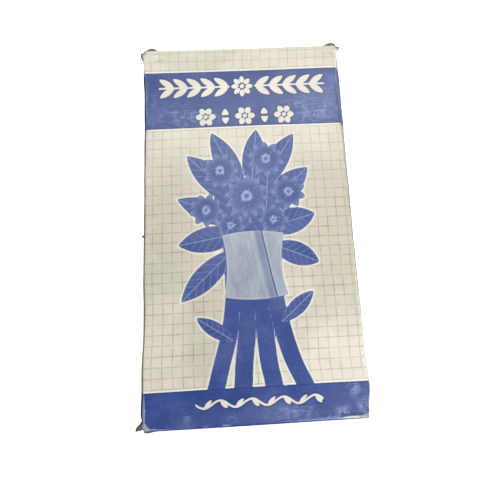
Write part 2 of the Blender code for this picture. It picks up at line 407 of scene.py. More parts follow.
def fade_in(down, low, high):
    """0 at both ends of the front panel and 1 away from them."""
    return smooth(down, low, high) * smooth(FOOT_DOWN - down, low, high)


def smooth(value, low, high):
    """A smooth step from 0 to 1 as value goes from low to high."""
    part = np.clip((value - low) / (high - low), 0, 1)
    return part * part * (3 - 2 * part)


def wander(across, down, size, seed):
    """Soft noise between -1 and 1 over a grid of places in millimetres."""
    flat = np.stack([across.ravel() / size, down.ravel() / size], axis=1)
    made = [noise.noise(Vector((float(a), float(b), seed))) for a, b in flat]
    return np.array(made).reshape(across.shape)


# Sheets of board


def surface_normals(middle, outward):
    """Unit normals of a grid of points, on the side that the first one's outward direction names."""
    down = np.gradient(middle, axis=0)
    over = np.gradient(middle, axis=1)
    normal = np.cross(down, over)
    normal /= np.linalg.norm(normal, axis=2, keepdims=True) + 1e-12
    if np.dot(normal[len(middle) // 2, middle.shape[1] // 2], outward) < 0:
        normal = -normal
    return normal


def nose(edge, before, normal, half):
    """Points round a sheet's end, from its outer face to its inner one."""
    forward = edge - before
    forward -= normal * np.sum(forward * normal, axis=1, keepdims=True)
    forward /= np.linalg.norm(forward, axis=1, keepdims=True)
    rounds = []
    for step in range(1, NOSE_STEPS):
        angle = math.pi * step / NOSE_STEPS
        rounds.append(edge + half * (math.cos(angle) * normal + math.sin(angle) * forward))
    return rounds


def sheet_of_board(name, middle, outward, half, skip=1):
    """A closed sheet about a grid of middle points, with rounded ends at its first and last row.

    half is the half thickness for each row. The inner face keeps only every skip-th row. Returns the object
    and each row of vertices' row in the grid, so that print can be laid on it.
    """
    rows, columns = middle.shape[:2]
    normal = surface_normals(middle, outward)
    half = np.broadcast_to(np.asarray(half, dtype=float), (rows,))[:, None, None]
    outer = middle + normal * half
    inner_rows = list(range(0, rows, skip))
    if inner_rows[-1] != rows - 1:
        inner_rows.append(rows - 1)
    inner = (middle - normal * half)[inner_rows]

    last_nose = nose(middle[-1], middle[-2], normal[-1], half[-1])
    first_nose = nose(middle[0], middle[1], normal[0], half[0])
    loop = [*outer, *last_nose, *inner[::-1], *first_nose[::-1]]
    row_of = [*range(rows), *[rows - 1] * len(last_nose), *inner_rows[::-1], *[0] * len(first_nose)]
    points = np.array(loop)
    count = len(points)

    faces = []
    slots = []
    for here in range(count):
        after = (here + 1) % count
        inside = rows + len(last_nose) - 1 < here < rows + len(last_nose) + len(inner) - 1
        for column in range(columns - 1):
            a, b = here * columns + column, after * columns + column
            faces.append((a, b, b + 1, a + 1))
            slots.append(1 if inside else 0)
    first_inner = rows + len(last_nose)
    for column in (0, columns - 1):
        rims = [[rows - 1, *range(rows, first_inner), first_inner]]
        for index in range(len(inner_rows) - 1):
            low, high = inner_rows[index], inner_rows[index + 1]
            inner_here = first_inner + len(inner_rows) - 1 - index
            rims.append([*range(low, high + 1), inner_here - 1, inner_here])
        rims.append([0, first_inner + len(inner_rows) - 1, *range(first_inner + len(inner_rows), count)])
        for rim in rims:
            if column:
                rim = rim[::-1]
            faces.append(tuple(index * columns + column for index in rim))
            slots.append(1)

    mesh = bpy.data.meshes.new(name)
    mesh.from_pydata(points.reshape(-1, 3).tolist(), [], faces)
    mesh.polygons.foreach_set("material_index", slots)
    mesh.validate()
    return add_object(name, mesh), np.array(row_of)


def finish_sheet(made, row_of, across, down, fields, finishes):
    """Lays the print on a sheet, as each vertex's place and fields, and turns its faces outwards."""
    mesh = made.data
    vertex = np.empty(len(mesh.loops), dtype=np.int32)
    mesh.loops.foreach_get("vertex_index", vertex)
    places = np.stack([across[row_of].ravel()[vertex], down[row_of].ravel()[vertex]], axis=1) * MM
    spot = mesh.uv_layers.new(name="sheet")
    spot.data.foreach_set("uv", places.astype(np.float32).ravel())
    for name, values in fields.items():
        layer = mesh.attributes.new(name, "FLOAT_VECTOR", "POINT")
        layer.data.foreach_set("vector", values[row_of].reshape(-1, 3).astype(np.float32).ravel())
    for finish in finishes:
        mesh.materials.append(finish)

    built = bmesh.new()
    built.from_mesh(mesh)
    bmesh.ops.recalc_face_normals(built, faces=built.faces[:])
    built.to_mesh(mesh)
    built.free()
    mesh.shade_smooth()
    mesh.set_sharp_from_angle(angle=SHARP_ANGLE)


def crumple_field(crumple):
    """The folds field of a sheet that is crumpled and has no ribbon or dents."""
    nothing = np.zeros_like(crumple)
    return {"folds": np.stack([nothing, crumple, nothing], axis=-1)}


# The sleeve


def straight(panel, start, end, count, crowd=0.0):
    """A run of the section in a straight line. crowd draws its points towards both ends."""
    part = np.arange(count) / count
    part = part - crowd * np.sin(2 * math.pi * part) / (2 * math.pi)
    start, end = np.array(start), np.array(end)
    place = start + (end - start) * part[:, None]
    along = (end - start) / np.linalg.norm(end - start)
    normal = np.tile((-along[1], along[0]), (count, 1))
    return {"panel": panel, "place": place, "normal": normal}


def rounded(panel, centre, radius, start, end):
    """A run of the section round a bend, from one angle to another."""
    count = SECTION_STEPS["bend"]
    angle = np.radians(start + (end - start) * np.arange(count) / count)
    normal = np.stack([np.cos(angle), np.sin(angle)], axis=1)
    return {"panel": panel, "place": np.array(centre) + radius * normal, "normal": normal}


def sleeve_section():
    """The sleeve's section from the left panel's free edge round to the glue flap's, as runs of x and z."""
    wall = HALF_WIDTH - BOARD / 2
    bend = CREASE_RADIUS - BOARD / 2
    side, low, high = HALF_WIDTH - CREASE_RADIUS, CREASE_RADIUS, DEPTH - CREASE_RADIUS
    seam = wall - BOARD - SEAM_GAP
    top, floor = DEPTH - BOARD / 2, BOARD / 2
    steps, crowd = SECTION_STEPS, CROWD["side"]
    return (
        straight("left", (-wall, floor), (-wall, high), steps["side"], crowd),
        rounded("left_top", (-side, high), bend, 180, 90),
        straight("front", (-side, top), (side, top), steps["front"]),
        rounded("right_top", (side, high), bend, 90, 0),
        straight("right", (wall, high), (wall, low), steps["side"], crowd),
        rounded("right_low", (side, low), bend, 0, -90),
        straight("back", (side, floor), (bend - seam, floor), steps["back"]),
        rounded("seam_low", (bend - seam, low), bend, -90, -180),
        straight("glue", (-seam, low), (-seam, GLUE_HIGH.z), steps["glue"]),
    )


def column_ends(runs, z):
    """How far from the waist each column of the sleeve ends, eased round each bend between two panels."""
    end_of = {"left": DUST_AXIS_Y, "front": LID_AXIS_Y, "right": DUST_AXIS_Y}
    end_of |= {"back": SLEEVE_END, "glue": GLUE_HIGH.y}
    ends = []
    for index, run in enumerate(runs):
        count = len(run["place"])
        if run["panel"] in end_of:
            ends.append(np.full(count, end_of[run["panel"]]))
        else:
            before, after = end_of[runs[index - 1]["panel"]], end_of[runs[index + 1]["panel"]]
            ends.append(before + (after - before) * np.arange(count) / count)
    rise = np.clip((z - GLUE_LOW.z) / (GLUE_HIGH.z - GLUE_LOW.z), 0, 1)
    rise[: -SECTION_STEPS["glue"]] = 0
    return np.concatenate(ends) - rise * (GLUE_HIGH.z - GLUE_LOW.z) * GLUE_BEVEL


def make_sleeve_grid():
    """The sleeve's middle surface, with each point's place across and down the print and how bare it is."""
    runs = sleeve_section()
    place = np.concatenate([run["place"] for run in runs])
    normal = np.concatenate([run["normal"] for run in runs])
    panel = np.concatenate([[run["panel"]] * len(run["place"]) for run in runs])
    x, z = place[:, 0], place[:, 1]
    ends = column_ends(runs, z)

    step = np.linspace(-1, 1, SLEEVE_ROWS)
    station = step + CROWD["sleeve"] * np.sin(math.pi * step) / math.pi
    y = station[:, None] * ends[None, :]
    down = (HALF_LENGTH - y) / MM
    across_front = x / (HALF_WIDTH - CREASE_RADIUS)
    up_side = np.clip(2 * (z - CREASE_RADIUS) / (DEPTH - 2 * CREASE_RADIUS) - 1, -1, 1)
    on_front, on_right = panel == "front", panel == "right"
    on_side = np.isin(panel, ("left", "right"))

    out = np.isin(panel, ("left", "glue")) * shape_curve("left", down) * (1 - up_side**2)
    out += on_right * shape_curve("right", down) * (1 - up_side**2)
    out += on_front * shape_curve("front", down) * (1 - across_front**2)
    out += on_front * front_dents(x / MM, down)
    crumple, bare = (
        (panel == "left") * side_ears("left", y, z, column) + on_right * side_ears("right", y, z, column)
        for column in ("out", "bare")
    )
    out += crumple

    # The side panels curl in at their ends towards the dust flaps' creases
    from_end = ends - np.abs(y)
    curl_depth = HALF_WIDTH - BOARD / 2 - DUST_AXIS_X
    out -= on_side * curl_depth * (1 - smooth(from_end, 0, CURL_LENGTH))

    # The waves fade out at the ends and folds
    across = np.broadcast_to(developed_length(place) / MM, y.shape)
    wave = sum(wander(across, y / MM, row["size"], row["seed"]) * row["high"] for row in WAVES)
    fade = smooth(from_end, *WAVE_FADE)
    fade = fade * np.where(on_front, 1 - np.abs(across_front) ** 6, 1 - np.abs(up_side) ** 6)
    out += (on_front | on_side) * wave * MM * fade

    moved_x = x + normal[:, 0] * out + fold_drift(x, z, down)
    moved_y = y - np.sign(y) * (end_bow(x, z, y) - EAR_STRETCH * crumple)
    return np.stack([moved_x, moved_y, z + normal[:, 1] * out], axis=2), across, down, bare


def developed_length(place):
    """Distance round the sheet of each section point, from the front panel's middle."""
    steps = np.linalg.norm(np.diff(place, axis=0), axis=1)
    length = np.concatenate([[0], np.cumsum(steps)])
    top = place[:, 1] > DEPTH - BOARD
    return length - np.interp(0, place[top, 0], length[top])


def fold_drift(x, z, down):
    """How the upper folds wander, carried across the front panel and down to nothing at the lower folds."""
    ripple = sum(row["high"] * np.sin(down / row["length"] + row["phase"]) for row in RIPPLES) * MM
    ripple = ripple * fade_in(down, *RIPPLE_FADE)
    rightness = np.clip((1 + x / HALF_WIDTH) / 2, 0, 1)
    to_right = shape_curve("right_fold", down) + ripple
    to_left = -shape_curve("left_fold", down) + ripple
    return (to_right * rightness + to_left * (1 - rightness)) * z / DEPTH


def end_bow(x, z, y):
    """How far the upper end folds are drawn in at their middles, fading out towards the carton's waist."""
    bow = np.where(y > 0, END_BOW["head"], END_BOW["foot"]) * np.abs(y) / HALF_LENGTH
    return bow * (1 - np.clip(x / HALF_WIDTH, -1, 1) ** 2) * smooth(z, 0.5 * DEPTH, DEPTH)


def front_dents(across, down):
    """How far the dents and ridges move the front panel outwards."""
    total = np.zeros_like(down)
    for dent in DENTS:
        turn = math.radians(dent["turn"])
        a, b = across - dent["across"], down - dent["down"]
        run = (a * math.cos(turn) + b * math.sin(turn)) / (dent["long"] / 2)
        side = (b * math.cos(turn) - a * math.sin(turn)) / (dent["wide"] / 2)
        total -= dent["deep"] * MM * np.exp(-(run**2) - side**2)
    return total * fade_in(down, *DENT_FADE)


def side_ears(panel, y, z, column):
    """One column of a side panel's crumples, spread from their peaks to the ends of their reaches."""
    total = np.zeros_like(y)
    for ear in EARS:
        if ear["panel"] == panel:
            past = (y * ear["end"] - HALF_LENGTH) / MM + ear["from_end"]
            run = np.where(past > 0, past / ear["near"], -past / ear["far"])
            rise = z / MM - ear["z"]
            up = np.where(rise > 0, rise / ear["up"], -rise / ear["down"])
            total += ear[column] * MM * (1 - smooth(run, 0, 1)) * (1 - smooth(up, 0, 1))
    return total


def make_sleeve(finishes):
    """The sleeve with its glue flap, as one sheet from free edge to free edge."""
    middle, across, down, bare = make_sleeve_grid()
    ends = np.abs(np.linspace(-1, 1, SLEEVE_ROWS))
    half = BOARD / 2 - NOSE_SHRINK * smooth(ends, NOSE_START, 1)
    made, row_of = sheet_of_board("sleeve_board", middle, (0, 0, 1), half, skip=SLEEVE_SKIP)
    finish_sheet(made, row_of, across, down, front_print(across, down, bare), finishes)
    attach(made, "sleeve")
    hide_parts("sleeve", "glue_flap")


def make_flake(finishes):
    """A torn flake of board that stands out from the left fold, painted as dirty bare board in shade."""
    part = np.linspace(0, 1, FLAKE_STEPS["reach"])[:, None]
    share = np.linspace(-1, 1, FLAKE_STEPS["across"])[None, :]
    fold_x = -HALF_WIDTH - shape_curve("left_fold", np.array(FLAKE["down"])) + 0.3 * MM
    width = FLAKE["wide"] * MM / 2 * (1 - 0.55 * part**2)
    ragged = FLAKE_EDGE["ragged"] * np.sin(9 * part)
    y = HALF_LENGTH - FLAKE["down"] * MM + width * share + ragged
    x = fold_x - np.broadcast_to(FLAKE["reach"] * part * MM, y.shape)
    z = FLAKE["z"] * MM - FLAKE["droop"] * MM * part**2 + FLAKE_EDGE["curl"] * share**2
    made, row_of = sheet_of_board("torn_flake", np.stack([x, y, z], axis=2), (0, 0, 1), BOARD / 3)
    finish_sheet(made, row_of, x / MM, y / MM, crumple_field(np.full(x.shape, FLAKE["bare"])), finishes)
    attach(made, "sleeve")


# The print's shapes, as signed distances in millimetres that are negative inside


def disc(across, down, at, radius):
    return np.hypot(across - at[0], down - at[1]) - radius


def leaf(across, down, base, tip, wide):
    """A pointed leaf's distance, with the place along it from 0 to 1 and the distance beside its midrib."""
    base, tip = np.array(base), np.array(tip)
    length = np.linalg.norm(tip - base)
    run = (tip - base) / length
    a, b = across - base[0], down - base[1]
    along = a * run[0] + b * run[1]
    beside = b * run[0] - a * run[1]
    half, bulge = length / 2, wide / 2
    radius = (half**2 + bulge**2) / (2 * bulge)
    distance = np.hypot(along - half, np.abs(beside) + radius - bulge) - radius
    return distance, along / length, beside


def petals(at, reach, count, turn, inner=0.16):
    """The petals of a flower as leaves that start near its middle."""
    for index in range(count):
        angle = math.radians(turn) + 2 * math.pi * index / count
        direction = np.array([math.cos(angle), math.sin(angle)])
        base = np.array(at) + direction * reach * inner
        tip = np.array(at) + direction * reach
        yield base, tip, reach * PETAL_WIDTH / count


class Painting:
    """Layers of shapes laid over each other, kept as fields over the sheet."""

    def __init__(self, across, down):
        self.across, self.down = across, down
        far = np.full(across.shape, FAR)
        self.distance, self.edge, self.beside = far, far, far
        self.along, self.tone, self.petal = far * 0, far * 0, far * 0

    def lay(self, distance, along, beside, tone, petal=0.0):
        inside = distance < 0
        self.distance = np.minimum(self.distance, distance)
        self.edge = np.where(inside, -distance, self.edge)
        self.along = np.where(inside, along, self.along)
        self.beside = np.where(inside, beside, self.beside)
        self.tone = np.where(inside, tone, self.tone)
        self.petal = np.where(inside, petal, self.petal)


def paint_stem(picture, stem):
    top, foot = stem["top"], stem["foot"]
    part = np.clip((picture.down - top[1]) / (foot[1] - top[1]), 0, 1)
    centre = top[0] + (foot[0] - top[0]) * part**1.5 + stem["bow"] * np.sin(math.pi * part)
    beside = picture.across - centre
    distance = np.maximum(np.abs(beside) - stem["wide"] / 2, top[1] - picture.down)
    picture.lay(distance, part, beside, TONES["stem"], petal=1.0)


def paint_flower(picture, flower):
    at, reach = flower["at"], flower["reach"]
    for base, tip, wide in petals(at, reach, flower["petals"], flower["turn"]):
        distance, along, beside = leaf(picture.across, picture.down, base, tip, wide)
        tone = TONES["petal"] + TONE_RISE["petal"] * smooth(along, *PETAL_PALE)
        picture.lay(distance, along, beside, tone, petal=1.0)
    for part, share in FLOWER_PARTS.items():
        distance = disc(picture.across, picture.down, at, reach * share)
        picture.lay(distance, 0.0, NO_RIB, TONES[part], petal=1.0)


def paint_bouquet(picture):
    for stem in STEMS:
        paint_stem(picture, stem)
    for item in LEAVES:
        distance, along, beside = leaf(picture.across, picture.down, item["base"], item["tip"], item["wide"])
        picture.lay(distance, along, beside, TONES["leaf"] + TONE_RISE["leaf"] * smooth(beside, -1, 3))
    for flower in FLOWERS:
        paint_flower(picture, flower)


def ribbon_distance(across, down):
    beside = across - RIBBON["across"]
    middle = (RIBBON["from"] + RIBBON["to"]) / 2
    part = (down - middle) / (RIBBON["to"] - RIBBON["from"]) * 2
    half = RIBBON["half"] - RIBBON["waist"] * (1 - part**2)
    arch = RIBBON["arch"] * (1 - (beside / RIBBON["half"]) ** 2)
    ends = np.maximum(RIBBON["from"] - down, down - RIBBON["to"]) - arch
    return np.maximum(np.abs(beside) - half, ends)


def ribbon_fold_distance(across, down):
    """Distance beside the ribbon's fold, signed so that its shaded side is negative."""
    part = (down - RIBBON["from"]) / (RIBBON["to"] - RIBBON["from"])
    beside = across - RIBBON["across"] - RIBBON_FOLD["across"] - RIBBON_FOLD["lean"] * (part - 0.5)
    return np.where(np.abs(beside) < NO_RIB, beside, NO_RIB)


def garland_distance(across, down):
    """Distance to the garland: a rosette, and on either side a stem with pairs of leaves."""
    level, middle = GARLAND["down"], GARLAND["rosette"]
    found = rosette_distance(across, down, (0.0, level), middle, 8)
    pitch = (GARLAND["reach"] - middle - GARLAND_STEM["spare"]) / GARLAND["pairs"]
    stem = np.maximum(np.abs(down - level) - GARLAND_STEM["half"], np.abs(across) - GARLAND["reach"])
    found = np.minimum(found, np.maximum(stem, middle + GARLAND_STEM["gap"] - np.abs(across)))
    angle = math.radians(GARLAND["spread"])
    for pair in range(GARLAND["pairs"]):
        root = middle + GARLAND_STEM["root"] + pair * pitch
        for lean in (-1, 1):
            tip = (root + GARLAND["leaf"] * math.cos(angle), level + lean * GARLAND["leaf"] * math.sin(angle))
            found = np.minimum(found, leaf(np.abs(across), down, (root, level), tip, GARLAND["wide"])[0])
    return found


def ornament_distance(across, down):
    """Distance to the nearest ornament on the bands."""
    found = np.minimum(garland_distance(across, down), sprig_distance(across, down))
    level = ROSETTES["down"]
    for place in range(ROSETTES["count"]):
        at = ROSETTES["across"] + (place - (ROSETTES["count"] - 1) / 2) * ROSETTES["pitch"]
        if place % 2 == 0:
            one = rosette_distance(across, down, (at, level), ROSETTES["reach"], 6)
        else:
            bud = leaf(across, down, (at, level + BUD["reach"]), (at, level - BUD["reach"]), BUD["wide"])[0]
            one = np.maximum(bud, BUD["parting"] - np.abs(down - level))
        found = np.minimum(found, one)
    return found


def rosette_distance(across, down, at, reach, count):
    found = disc(across, down, at, reach * ROSETTE["heart"])
    for base, tip, wide in petals(at, reach, count, 0.0, ROSETTE["inner"]):
        found = np.minimum(found, leaf(across, down, base, tip, wide * ROSETTE["narrow"])[0])
    return found


def sprig_distance(across, down):
    beside = across - SPRIG["across"]
    phase = 2 * math.pi * beside / SPRIG["wave"]
    line = SPRIG["down"] + SPRIG["rise"] * np.sin(phase)
    slope = SPRIG["rise"] * 2 * math.pi / SPRIG["wave"] * np.cos(phase)
    found = np.abs(down - line) / np.sqrt(1 + slope**2) - SPRIG["wide"]
    found = np.maximum(found, np.abs(beside) - SPRIG["half"])
    for index in range(-4, 4):
        centre = SPRIG["across"] + (index + 0.5) * SPRIG["wave"] / 2
        side = 1 if index % 2 == 0 else -1
        root = (centre, SPRIG["down"] + side * SPRIG["rise"] * SPRIG_LEAF["root"])
        tip = (centre + SPRIG_LEAF["along"], SPRIG["down"] - side * SPRIG_LEAF["rise"])
        found = np.minimum(found, leaf(across, down, root, tip, SPRIG_LEAF["wide"])[0])
    return found


def patches(across, down, rows):
    """How strongly each place lies in one of a table's soft patches, less those with a negative strength."""
    raised = np.zeros_like(across)
    lowered = np.zeros_like(across)
    for patch in rows:
        a = (across - patch["across"]) / patch["half_across"]
        b = (down - patch["down"]) / patch["half_down"]
        here = patch["strength"] * np.exp(-(a**2) - b**2)
        raised = np.maximum(raised, here)
        lowered = np.minimum(lowered, here)
    return raised + lowered


def front_print(across, down, crumple):
    """The print's fields at each place of the sheet."""
    picture = Painting(across, down)
    paint_bouquet(picture)
    ribbon = ribbon_distance(across, down)
    on_front = np.abs(across) < HALF_WIDTH / MM + 1
    whole = np.where(on_front, np.minimum(picture.distance, ribbon), FAR)
    ornament = np.where(on_front, ornament_distance(across, down), FAR)
    # The dents' depth and the crease table, which the print turns into painted shade in the dents and beside
    # the creases, and pale scuffs
    crinkle = -front_dents(across, down) / MM * on_front * CRINKLE_GAIN + patches(across, down, CREASE_SHADE_DIRT_AND_SCUFFS)
    fold = ribbon_fold_distance(across, down)
    fields = {
        "shapes": (whole, ribbon, ornament),
        "leaf": (picture.along, picture.beside, np.clip(picture.edge, 0, 5)),
        "shade": (picture.tone, patches(across, down, RUBS), picture.petal),
        "folds": (fold, crumple / MM, crinkle),
        "tone": tuple(patches(across, down, rows) for rows in (SHEEN_AND_LIGHT_PATCHES, SHADE_AND_AGE_PATCHES, WORN)),
    }
    return {name: np.stack(values, axis=-1) for name, values in fields.items()}


# Lids and flaps


def corner_setback(place, end, radius):
    """How far a rounded corner draws an edge in as the place nears the sheet's free end."""
    to_end = np.clip(place - (end - radius), 0, radius * CORNER_END)
    return radius - np.sqrt(radius**2 - to_end**2)


def lid_section(end):
    """The section down a lid, round its crease and in along its tuck flap, as y and z."""
    long, high = TUCK_HIGH.y - TUCK_LOW.y, TUCK_HIGH.z - TUCK_LOW.z
    lean = math.atan2(high - BOARD, long)
    bend_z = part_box(f"{end}_tuck_flap")[0].z + BOARD / 2 + LID_BEND
    fall = LID_AXIS_Z + (bend_z - LID_AXIS_Z) * np.linspace(0, 1, LID_STEPS["fall"]) ** CROWD["lid"]
    turn = np.linspace(0, -math.pi / 2 - lean, LID_STEPS["bend"])[1:]
    round_y = LID_AXIS_Y - LID_BEND + LID_BEND * np.cos(turn)
    round_z = bend_z + LID_BEND * np.sin(turn)
    run = np.linspace(0, math.hypot(long, high) - LID_BEND, LID_STEPS["tuck"])[1:]
    y = np.concatenate([np.full(fall.shape, LID_AXIS_Y), round_y, round_y[-1] - run * math.cos(lean)])
    z = np.concatenate([fall, round_z, round_z[-1] + run * math.sin(lean)])
    return y, z


def make_lid(end, finishes):
    """A lid and its tuck flap as one bent sheet, bulged by what it holds in."""
    facing = FACING[end]
    y, z = lid_section(end)
    along = np.concatenate([[0], np.cumsum(np.hypot(np.diff(y), np.diff(z)))])
    crease = along[LID_STEPS["fall"] - 1]
    on_tuck = smooth(along, crease, crease + TUCK_EASE)

    # The sheet narrows at the tuck flap and rounds off at its free edge
    lid_half = HALF_WIDTH - LID_MARGIN
    width = lid_half + (TUCK_HIGH.x - lid_half) * on_tuck - corner_setback(along, along[-1], TUCK_CORNER)
    x = width[:, None] * np.linspace(-1, 1, LID_STEPS["across"])[None, :]
    high = np.broadcast_to(z[:, None], x.shape)
    bulge = lid_bulge(end, x, high) * (1 - on_tuck)[:, None] - end_bow(x, high, facing * LID_AXIS_Y)
    middle = np.stack([x, facing * (y[:, None] + bulge), high], axis=2)

    made, row_of = sheet_of_board(f"{end}_lid_board", middle, (0, facing, 0), BOARD / 2)
    beyond = (along[:, None] + HALF_LENGTH - LID_AXIS_Y) / MM
    down = np.broadcast_to(-beyond if end == "head" else FOOT_DOWN + beyond, x.shape)
    finish_sheet(made, row_of, x / MM, down, crumple_field(lid_bumps(end, x, high, "bare")), finishes)
    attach(made, f"{end}_lid")
    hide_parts(f"{end}_lid", f"{end}_tuck_flap")


def lid_bumps(end, x, z, column):
    """One column of a lid's bumps, spread softly about their middles."""
    total = np.zeros_like(x)
    for bump in LID_BUMPS:
        if bump["end"] == end:
            a = (x / MM - bump["across"]) / bump["half_across"]
            b = (z / MM - bump["z"]) / bump["half_up"]
            total += bump[column] * np.exp(-(a**2) - b**2)
    return total


def lid_bulge(end, x, z):
    """How far a lid stands out from flat, with nothing at its fold."""
    up = np.clip(2 * z / DEPTH - 1, -1, 1)
    crown = LID_CROWN * (1 - up**2) * (1 - (x / HALF_WIDTH) ** 4)
    return (crown + lid_bumps(end, x, z, "out") * MM) * smooth(LID_AXIS_Z - z, 0, 0.8 * MM)


def make_dust_flap(end, side, finishes):
    """A dust flap, cut like the frame's, with its rounded edge on the crease."""
    name = f"{end}_dust_flap_{side}"
    low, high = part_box(name)
    facing = FACING[end]
    towards = 1 if side == "right" else -1
    length = high.x - low.x + (DUST_AXIS_X - max(abs(low.x), abs(high.x)))
    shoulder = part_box(f"{end}_tuck_flap")[1].z + DUST_SHOULDER

    straight_reach = np.linspace(0, length - DUST_CORNER, DUST_STEPS["reach"])
    rounding = length - DUST_CORNER + DUST_CORNER * np.sin(np.linspace(0, math.pi / 2, DUST_STEPS["corner"]))
    reach = np.unique(np.concatenate([straight_reach, rounding]))
    part = np.clip(reach / DUST_NOTCH, 0, 1)
    drawn_in = np.clip(reach - DUST_NOTCH, 0, None) * DUST_TAPER + corner_setback(reach, length, DUST_CORNER)
    bottom = low.z + (shoulder - low.z) * part + drawn_in
    top = high.z - DUST_MARGIN * (1 - part) - drawn_in
    share = np.linspace(0, 1, DUST_STEPS["across"])
    z = bottom[:, None] + (top - bottom)[:, None] * share[None, :]
    along = np.broadcast_to(reach[:, None], z.shape)
    bow = DUST_BOW * smooth(along, 2 * MM, length) * np.sin(share * math.pi)
    middle = np.stack([towards * (DUST_AXIS_X - along), facing * (DUST_AXIS_Y - bow), z], axis=2)

    made, row_of = sheet_of_board(f"{name}_board", middle, (0, facing, 0), BOARD / 2)
    finish_sheet(made, row_of, along / MM, z / MM, {}, finishes)
    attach(made, name)
    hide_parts(name)


# Materials


class Value:
    """What a node gives out, which can be reckoned with like a number."""

    def __init__(self, graph, socket):
        self.graph, self.socket = graph, socket

    def __add__(self, other):
        return self.graph.math("ADD", self, other)

    def __sub__(self, other):
        return self.graph.math("SUBTRACT", self, other)

    def __rsub__(self, other):
        return self.graph.math("SUBTRACT", other, self)

    def __mul__(self, other):
        return self.graph.math("MULTIPLY", self, other)

    def __abs__(self):
        return self.graph.math("ABSOLUTE", self)

    __radd__ = __add__
    __rmul__ = __mul__

    def least(self, other):
        return self.graph.math("MINIMUM", self, other)

    def most(self, other):
        return self.graph.math("MAXIMUM", self, other)

    def pingpong(self, scale):
        return self.graph.math("PINGPONG", self, scale)

    def clamped(self):
        return self.graph.math("ADD", self, 0.0, clamp=True)


class Graph:
    """Short calls for building a material's nodes."""

    def __init__(self, name):
        self.material = bpy.data.materials.new(name)
        self.material.use_nodes = True
        self.nodes = self.material.node_tree.nodes
        self.links = self.material.node_tree.links
        self.inputs = self.nodes["Principled BSDF"].inputs

    def put(self, socket, value):
        if isinstance(value, Value):
            self.links.new(value.socket, socket)
        elif isinstance(value, tuple):
            socket.default_value = (*value, 1.0) if len(socket.default_value) == 4 else value
        else:
            socket.default_value = value

    def node(self, kind, output=0, inputs=(), **settings):
        """One output of a new node. inputs pairs the name or number of each input with its value."""
        made = self.nodes.new(kind)
        for name, value in settings.items():
            setattr(made, name, value)
        for place, value in dict(inputs).items():
            self.put(made.inputs[place], value)
        return Value(self, made.outputs[output])

    def math(self, operation, *values, clamp=False):
        return self.node("ShaderNodeMath", 0, enumerate(values), operation=operation, use_clamp=clamp)

    def step(self, value, low, high, start=0.0, end=1.0):
        """A smooth step from start to end as value goes from low to high."""
        inputs = enumerate((value, low, high, start, end))
        return self.node("ShaderNodeMapRange", 0, inputs, interpolation_type="SMOOTHSTEP")

    def between(self, value, low, high, soft=0.12):
        """1 between low and high and 0 beyond them, with soft edges."""
        return self.step(value, low - soft, low + soft) * self.step(value, high - soft, high + soft, 1.0, 0.0)

    def mix(self, factor, a, b, blend="MIX"):
        """Colour a turned into b, or blended with it in another way, as far as factor says."""
        return self.node("ShaderNodeMix", 2, {0: factor, 6: a, 7: b}, data_type="RGBA", blend_type=blend)

    def split(self, vector):
        node = self.nodes.new("ShaderNodeSeparateXYZ")
        self.put(node.inputs[0], vector)
        return [Value(self, socket) for socket in node.outputs]

    def field(self, name):
        return self.split(self.node("ShaderNodeAttribute", "Vector", attribute_name=name))

    def sheet(self):
        """Places on the printed sheet in millimetres: across, down, and both as a vector."""
        place = self.node("ShaderNodeUVMap", uv_map="sheet")
        scaled = self.node("ShaderNodeVectorMath", 0, {0: place, "Scale": 1 / MM}, operation="SCALE")
        across, down, _ = self.split(scaled)
        return across, down, scaled

    def stretched(self, vector, across, down, turn=0.0):
        inputs = {0: vector, "Rotation": (0.0, 0.0, math.radians(turn)), "Scale": (across, down, 1.0)}
        return self.node("ShaderNodeMapping", 0, inputs)

    def noise(self, vector, size, detail=3.0, roughness=0.55, swirl=0.0):
        inputs = {"Vector": vector, "Scale": 1.0 / size, "Detail": detail}
        inputs |= {"Roughness": roughness, "Distortion": swirl}
        return self.node("ShaderNodeTexNoise", 0, inputs)

    def specks(self, vector, size, share):
        """Round specks at random places: 1 inside, 0 outside."""
        distance = self.node("ShaderNodeTexVoronoi", "Distance", {"Vector": vector, "Scale": 1.0 / size})
        return self.step(distance, share, share * 1.6, 1.0, 0.0)

    def bump(self, height, strength, distance):
        inputs = {"Strength": strength, "Distance": distance, "Height": height}
        self.put(self.inputs["Normal"], self.node("ShaderNodeBump", 0, inputs))


def coating_colour(graph, spot, shade_and_age):
    """Cream coating, darkened in blotches and in the patches' painted shade, here a little greener and there
    a little pinker.
    """
    blotch = graph.noise(spot, 42.0, 4.0, 0.6)
    fine = graph.noise(spot, 5.0, 3.0, 0.6)
    darkening = graph.step(blotch + fine * 0.25, 0.42, 0.82, 0.0, 0.6)
    # The patches add painted shade, and a paler patch of painted light, to the coating's aged blotches
    darkening = (shade_and_age * (blotch * 0.7 + 0.55) + darkening).clamped()
    colour = graph.mix(darkening, CREAM, CREAM_AGED_AND_SHADED)
    for row in COATING_TINTS:
        tinted = graph.step(graph.noise(spot, row["size"], 2.0), row["low"], 0.75)
        colour = graph.mix(tinted, colour, row["tint"], "MULTIPLY")
    return colour


def grid_lines(graph, across, down, spot):
    """Thin lines at the grid's pitch, faded here and there."""
    fade = graph.step(graph.noise(spot, 9.0, 3.0, 0.6), 0.32, 0.66, 0.22, 0.78)
    fade = fade * graph.step(down, 60.0, 140.0, 0.74, 1.0)
    lines = [
        graph.step((place - start).pingpong(GRID_PITCH / 2), GRID_LINE * 0.3, GRID_LINE * 2.0, 1.0, 0.0)
        for place, start in ((across, GRID_START["across"]), (down, GRID_START["down"]))
    ]
    return lines[0].most(lines[1]) * fade


